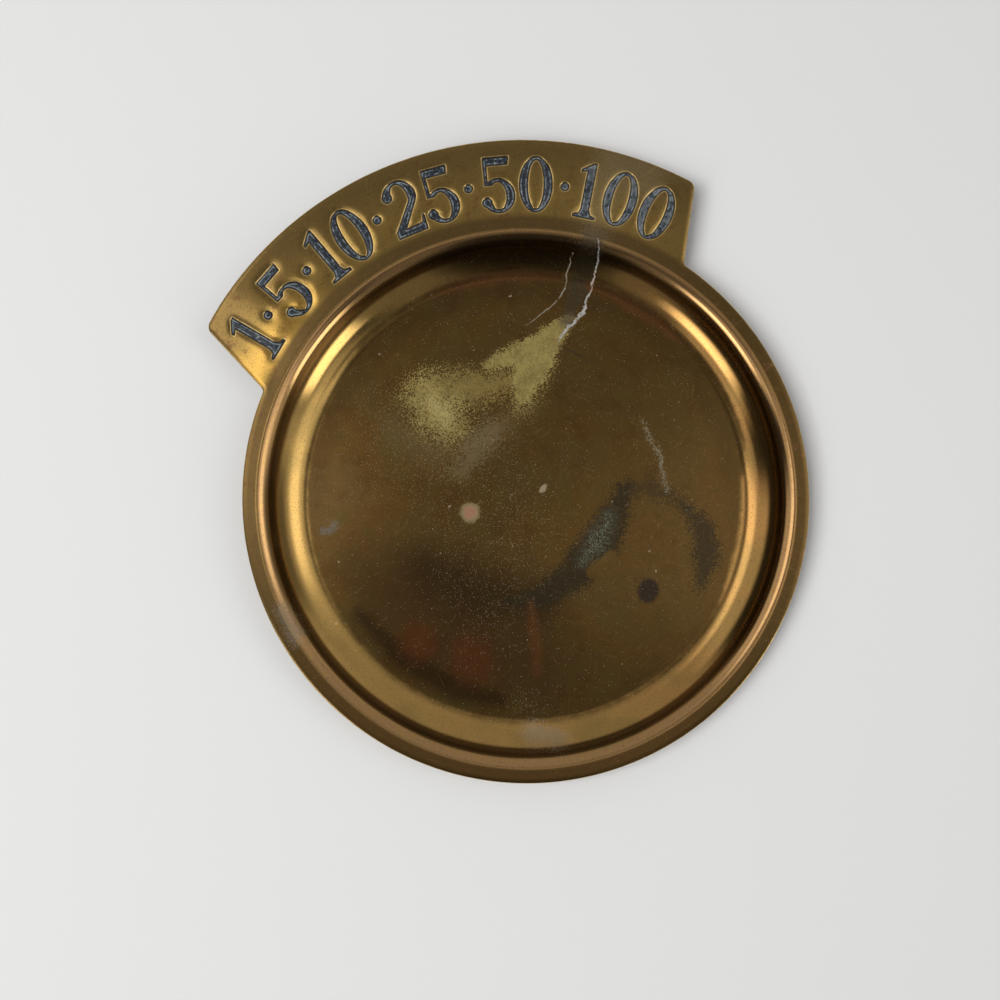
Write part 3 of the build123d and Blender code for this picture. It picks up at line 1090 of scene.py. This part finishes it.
BLOT_LAYERS = (
    ({"halo": (6,)}, 0.22, (0.17, 0.14, 0.07), 0.5, 0.6),
    ({"haze": (4,)}, 0.3, (0.17, 0.155, 0.095), 0.6, 0.4),
    ({"blot_bridge": (4.6,)}, 0.55, KHAKI, 0.55, 0.5),
    ({"left_blot": (5.4,)}, 0.75, KHAKI, 0.6, 0.4),
    ({"blot_core": (4,)}, 0.7, (0.46, 0.37, 0.14), 0.65, 0.3),
    ({"right_blot": (1.3,)}, 0.9, KHAKI, 0.62, 0.4),
    ({"drip": (0.9, -1.3)}, 0.85, (0.085, 0.064, 0.034), 0.34),
    ({"drip_veil": (5,)}, 0.35, (0.19, 0.165, 0.11), 0.45, 0.6),
    ({"crust": (0.15, -0.1), "grain": (0.3, 0.5)}, 1, (0.36, 0.35, 0.33), 0.8, 0.0),
    ({"thin_crust": (0.12, -0.06), "small_clouds": (0.3, 0.5)}, 1, (0.22, 0.2, 0.16), 0.7, 0.2),
    ({"dark_line": (0.3, -0.1)}, 0.8, GRIME, 0.4),
)
PATCH_LAYERS = (
    ({"arch": (3,)}, 0.55, (0.06, 0.043, 0.022), 0.32),
    ({"right_patch": (2.6,)}, 0.8, (0.065, 0.046, 0.023), 0.34),
    ({"crescent": (2.6,), "crescent_hole": (-0.3, 0.6)}, 0.9, (0.055, 0.041, 0.021), 0.32),
    ({"teal": (2, -2), "grain": (0.46, 0.6)}, 0.8, (0.15, 0.175, 0.115), 0.6, 0.2),
    ({"streak": (1.3,)}, 0.75, (0.19, 0.175, 0.115), 0.65, 0.1),
    ({"dark_spot": (1.3, 0.75)}, 0.85, (0.045, 0.031, 0.026), 0.3),
    ({"left_glow": (1.6, 0.3)}, 0.55, (0.23, 0.06, 0.02)),
    ({"right_glow": (1.6, 0.3)}, 0.55, (0.23, 0.06, 0.02)),
    ({"red_streaks": (1.2, -0.8)}, 0.65, (0.22, 0.085, 0.028)),
    ({"pink_spot": (1.3, 0.7)}, 0.8, PINK_TONE, 0.7, 0.15),
    ({"pale_spot": (1.3, 0.7)}, 1, (0.23, 0.18, 0.11), 0.7, 0.0),
    ({"smear": (1.6,)}, 0.75, (0.135, 0.13, 0.115), 0.65, 0.1),
    ({"flange_wear": (2.4,)}, 0.6, WORN_GREY, 0.6, 0.3),
    ({"bottom_dust": (2.4,)}, 0.6, WORN_GREY, 0.6, 0.3),
)
MARK_LAYERS = (
    ({"motes": (), "mote_share": ()}, 1, *DUST),
    ({"specks": (), "speck_share": ()}, 1, *DUST),
    *(({f"fibres_{angle}": (), "fibre_share": ()}, 1, *DUST) for angle in FIBRE_ANGLES),
    ({"pits": (), "radius": (49, 50)}, 0.7, (0.1, 0.055, 0.025), 0.5),
    *(({f"scratches_{angle}": ()}, 0.3, POLISHED, 0.34) for angle in SCRATCHES),
    ({"wear": (0.3, 0.9), "rub_share": ()}, 1, (0.72, 0.5, 0.2), 0.2),
)

# The same for the underside and for the enamel
UNDERSIDE_LAYERS = (
    ({"back_clouds": (0.42, 0.62)}, 1, (0.26, 0.16, 0.065), 0.45),
    ({"back_patches": (0.56, 0.7)}, 0.7, (0.2, 0.1, 0.045), 0.55),
    ({"radius": (46.0, 50.5, 1.0), "back_patches": (0.42, 0.55)}, 0.8, (0.62, 0.4, 0.15), 0.24),
    ({"back_grain": (0.55, 0.7)}, 0.5, GRIME, 0.5),
    *(({f"back_scratches_{angle}": ()}, 0.6, POLISHED, 0.25) for angle in BACK_ANGLES),
)
ENAMEL_LAYERS = (
    ({"flecks": (0.47, 0.66), "fleck_share": ()}, 1, (0.055, 0.08, 0.098), 0.34),
    # A painted highlight: a paler band just inside the enamel's edge
    ({"wear": (0.14, 0.5, 0.08), "gloss_clouds": (0.42, 0.6)}, 0.85, (0.2, 0.225, 0.23), 0.28),
    ({"along_x": (18, 42), "wear_clouds": (0.4, 0.58)}, 0.6, (0.15, 0.16, 0.165), 0.42),
    ({"chips": (0.63, 0.71)}, 0.8, (0.3, 0.3, 0.28), 0.4, 0.4),
    # Painted shade: the enamel near black along its edge
    ({"wear": (0.55, 0.85)}, 1, (0.005, 0.005, 0.007), 0.5),
)

# Where the toned floor ends, and how much further in or out that lies in some places
FLOOR_EDGE = 51.9, 50.0
FLOOR_RAGGEDNESS = 1.2
FLOOR_SHIFTS = (
    ({"across": (-22, -50)}, 0.5),
    ({"rise": (6, 15), "across": (-46, -36)}, -1.3),
    ({"across": (42, 47), "rise": (8, 2)}, 1.3),
)
# Painted shade on the floor's lower left, a patch and an arc
DARK_FLOOR = ({"lower_left_dark": (7, -4)}, 0.7), ({"dark_arc": (3, -1)}, 0.75)

# Where there is more dust, how crowded its motes are, and how strongly marks show: how much more where
# there is more of them, and how strongly everywhere
INSIDE = {"radius": (58, 44)}
DUSTY = {"dust": (12, -4)}, {"dust_at_foot": (3.5, -1)}
VEILED = {"halo": (6,)}, {"haze": (4,)}
BLOTCHY = {"small_clouds": (0.34, 0.56)}
MOTE_SPACING = 0.32
MOTE_RADIUS = 0.09
DUSTY_CROWD = 0.65
VEILED_CROWD = 0.3
LEAST_CROWD = 0.14
MOTE_SHARES = 0.4, 0.12
SPECK_SHARES = 0.45, 0.1
FIBRE_SHARES = 0.4, 0.12
RUB_SHARES = 0.5, 0.4

# Heights of the fine relief
BROAD_WAVE_RELIEF = 0.022
RIPPLE_RELIEF = 0.002
UNDERSIDE_RELIEF = 0.012
ENAMEL_RELIEF = 0.03

# The enamel has more flecks away from the middle of the row, which lies at this X
ROW_MIDDLE = 4.0
ROW_SPAN = 34.0, 10.0
FLECK_SHARES = 0.85, 0.4


def aged_brass():
    """The face of the tray: polished brass toned brown on the floor and flange, with its stains, painted
    shade on the floor, wall, flange and tab, and a painted highlight at the tab's left end.
    """
    finish = Finish("aged_brass", POLISHED, rough=0.12, metal=1.0)
    w, signals = finish.wiring, finish.signals
    edge = w.math("MULTIPLY_ADD", finish.signal("small_clouds"), FLOOR_RAGGEDNESS, finish.signal("radius"))
    for spans, inward in FLOOR_SHIFTS:
        edge = w.math("MULTIPLY_ADD", finish.mask(spans), inward, edge)
    signals["floor"] = w.ramp(edge, *FLOOR_EDGE)
    # Painted shade, darkest on the floor's lower left
    signals["dark_floor"] = w.math("MAXIMUM", *[finish.mask(*part) for part in DARK_FLOOR])
    signals["mottle"] = w.math("ADD", finish.signal("grain"), finish.signal("small_clouds"))
    for layer in (*BRASS_TONES, *BLOT_LAYERS, *PATCH_LAYERS):
        finish.lay(*layer)

    # Dust, other marks and wear
    inside, blotchy = finish.mask(INSIDE), finish.mask(BLOTCHY)
    dusty = w.math("MAXIMUM", *[finish.mask(spans) for spans in DUSTY])
    veiled = w.math("MAXIMUM", *[finish.mask(spans) for spans in VEILED])
    crowd = w.math("MULTIPLY_ADD", veiled, VEILED_CROWD, LEAST_CROWD)
    crowd = w.math("MULTIPLY_ADD", dusty, DUSTY_CROWD, crowd)
    signals["motes"] = w.specks(finish.signal("place"), MOTE_SPACING, MOTE_RADIUS, crowd)
    signals["specks"] = w.math("MAXIMUM", finish.signal("fine_specks"), finish.signal("large_specks"))
    signals["mote_share"] = w.math("MULTIPLY_ADD", inside, *MOTE_SHARES)
    signals["speck_share"] = w.math("MULTIPLY_ADD", inside, *SPECK_SHARES)
    signals["fibre_share"] = w.math("MULTIPLY_ADD", dusty, *FIBRE_SHARES)
    signals["rub_share"] = w.math("MULTIPLY_ADD", blotchy, *RUB_SHARES)
    signals["wear"] = w.attribute("wear")
    for layer in MARK_LAYERS:
        finish.lay(*layer)
    waves = w.math("MULTIPLY", finish.signal("broad_waves"), BROAD_WAVE_RELIEF)
    return finish.done(w.math("MULTIPLY_ADD", finish.signal("ripples"), RIPPLE_RELIEF, waves))


def brass_underside():
    """The back of the sheet, which is duller and browner and has no polish."""
    finish = Finish("aged_brass_underside", (0.46, 0.28, 0.09), rough=0.32, metal=1.0)
    for layer in UNDERSIDE_LAYERS:
        finish.lay(*layer)
    return finish.done(finish.wiring.math("MULTIPLY", finish.signal("back_ripples"), UNDERSIDE_RELIEF))


def dark_enamel():
    """Blue-black enamel with paler flecks, painted shade along its edge, a painted highlight band just
    inside that, and worn grey towards the right.
    """
    finish = Finish("dark_enamel", (0.007, 0.01, 0.016), rough=0.26, metal=0.0)
    w = finish.wiring
    # On the enamel this is nearness to its edge, for its painted shade and painted highlight
    finish.signals["wear"] = w.attribute("wear")
    from_middle = w.math("ABSOLUTE", w.math("SUBTRACT", finish.signal("along_x"), ROW_MIDDLE))
    finish.signals["fleck_share"] = w.blend(w.ramp(from_middle, *ROW_SPAN), *FLECK_SHARES)
    for layer in ENAMEL_LAYERS:
        finish.lay(*layer)
    return finish.done(w.math("MULTIPLY", finish.signal("brush_marks"), ENAMEL_RELIEF))


tray = make_tray([aged_brass(), brass_underside()])
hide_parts("tray_shell")
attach(tray, "root")
enamel = dark_enamel()
for figure in figures:
    make_fill(figure, enamel)


# Stage

PHOTO_TURN = math.radians(17.1)  # how far the tray is turned to the left in the photograph
CAMERA_PLACE = (-24.72, -17.84, 328.2)
CAMERA_TILT_X = math.radians(3.05)
CAMERA_TILT_Y = math.radians(-3.25)
CAMERA_LENS = 51.98
CAMERA_SENSOR = 36.0
TABLE_SIZE = 12.0
TABLE_COLOUR = (0.72, 0.72, 0.71, 1)
TABLE_ROUGHNESS = 0.4
WHITE = (1, 1, 1, 1)
BACKDROP = 0.72  # what shows beyond the table's far edge
DIM_ROOM = 0.03
OVERHEAD = (58, 84), 0.17  # where the light from above starts and is full, and how bright it is


def make_table():
    mesh = bpy.data.meshes.new("table_top")
    half = TABLE_SIZE / 2
    corners = [(-half, -half, 0), (half, -half, 0), (half, half, 0), (-half, half, 0)]
    mesh.from_pydata(corners, [], [(0, 1, 2, 3)])
    material = bpy.data.materials.new("pale_table")
    w = Wiring(material)
    inputs = {"Base Color": TABLE_COLOUR, "Roughness": TABLE_ROUGHNESS}
    shader = w.node("ShaderNodeBsdfPrincipled", **inputs)
    w.node("ShaderNodeOutputMaterial", Surface=shader.outputs[0])
    mesh.materials.append(material)
    made = bpy.data.objects.new("table_top", mesh)
    bpy.context.scene.collection.objects.link(made)


# Soft bright areas seen in the brass. Each has its azimuth, its half width and softness, its lower edge
# and softness, its upper edge and softness, and how bright it is.
STUDIO_LIGHTS = {
    "pale wall": (82, 54, 8, 3, 7, 74, 13, 0.32),
    "window's glow": (8, 20, 12, 30, 14, 84, 7, 0.6),
    "window": (9, 13, 7, 44, 8, 70, 7, 1.05),
    "window's side": (350, 8, 5, 8, 8, 78, 6, 0.3),
    "left wall": (156, 23, 8, 26, 8, 95, 3, 0.56),
    "ceiling line": (150, 24, 8, 63, 5, 85, 5, 0.95),
    "ceiling's end": (192, 14, 6, 56, 5, 75, 4, 0.4),
    "left lamp": (221, 12, 6, 27, 8, 50, 5, 2.6),
    "left lamp's halo": (214, 16, 6, 40, 8, 70, 4, 0.5),
    "low glow": (242, 12, 6, 2, 5, 62, 10, 0.14),
    "right lamp": (330, 9, 2.5, 9, 5, 38, 4, 2.5),
    "right wall": (340, 12, 8, 42, 8, 64, 4, 0.5),
    "low pale area": (0, 40, 15, -10, 5, 24, 10, 0.12),
    "near glow": (307, 11, 5, 8, 6, 68, 8, 0.14),
}


def make_world():
    """Soft light from all round, seen in the brass: a pale wall, a window and darker corners. Azimuths
    go from the photograph's right towards its top, and elevations from the horizon, in degrees."""
    world = bpy.data.worlds.new("studio")
    bpy.context.scene.world = world
    w = Wiring(world)
    direction = w.node("ShaderNodeTexCoord").outputs["Generated"]
    height = w.node("ShaderNodeSeparateXYZ", Vector=direction).outputs["Z"]
    elevation = w.math("DEGREES", w.math("ARCSINE", height))

    def patch(azimuth, half_width, side_soft, low, low_soft, high, high_soft, level):
        """A soft-edged bright area. Its edges are where it is half as bright, and each fades over
        twice its softness."""
        turn = (0, 0, PHOTO_TURN - math.radians(azimuth))
        turned = w.node("ShaderNodeMapping", {"vector_type": "POINT"}, Vector=direction, Rotation=turn)
        parts = w.node("ShaderNodeSeparateXYZ", Vector=turned.outputs[0])
        away = w.math("ARCTAN2", parts.outputs["Y"], parts.outputs["X"])
        away = w.math("ABSOLUTE", w.math("DEGREES", away))
        across = w.ramp(away, half_width + side_soft, half_width - side_soft)
        up = w.ramp(elevation, low - low_soft, low + low_soft)
        down = w.ramp(elevation, high + high_soft, high - high_soft)
        return w.both(across, up, down, level)

    span, level = OVERHEAD
    total = w.math("MULTIPLY_ADD", w.ramp(elevation, *span), level, DIM_ROOM)
    for light in STUDIO_LIGHTS.values():
        total = w.math("ADD", total, patch(*light))
    seen = w.node("ShaderNodeLightPath").outputs["Is Camera Ray"]
    strength = w.blend(seen, total, BACKDROP)
    background = w.node("ShaderNodeBackground", Color=WHITE, Strength=strength)
    w.node("ShaderNodeOutputWorld", Surface=background.outputs[0])


def make_lamp(name, azimuth, elevation, distance, size, power):
    """A soft square lamp aimed at the tray. It lights the table and stays out of the brass."""
    turn = math.radians(azimuth) - PHOTO_TURN
    rise = math.radians(elevation)
    toward = Vector((math.cos(turn) * math.cos(rise), math.sin(turn) * math.cos(rise), math.sin(rise)))
    lamp = bpy.data.lights.new(name, "AREA")
    lamp.size = size
    lamp.energy = power
    made = bpy.data.objects.new(name, lamp)
    made.location = toward * distance
    made.rotation_euler = toward.to_track_quat("Z", "Y").to_euler()
    made.visible_glossy = False
    bpy.context.scene.collection.objects.link(made)


def make_camera():
    """The photograph's own view, worked out from the ellipse of the rim and its distance."""
    camera = bpy.data.cameras.new("camera")
    camera.lens = CAMERA_LENS
    camera.sensor_width = CAMERA_SENSOR
    camera.clip_start = 0.01
    made = bpy.data.objects.new("camera", camera)
    tilt = Matrix.Rotation(CAMERA_TILT_X, 4, "X") @ Matrix.Rotation(CAMERA_TILT_Y, 4, "Y")
    place = Matrix.Translation(Vector(CAMERA_PLACE) * MM)
    made.matrix_world = Matrix.Rotation(-PHOTO_TURN, 4, "Z") @ place @ tilt
    bpy.context.scene.collection.objects.link(made)
    bpy.context.scene.camera = made


make_table()
make_world()
make_lamp("key_lamp", azimuth=195, elevation=62, distance=1.2, size=0.6, power=10)
make_camera()
bpy.context.scene.view_settings.view_transform = "Standard"
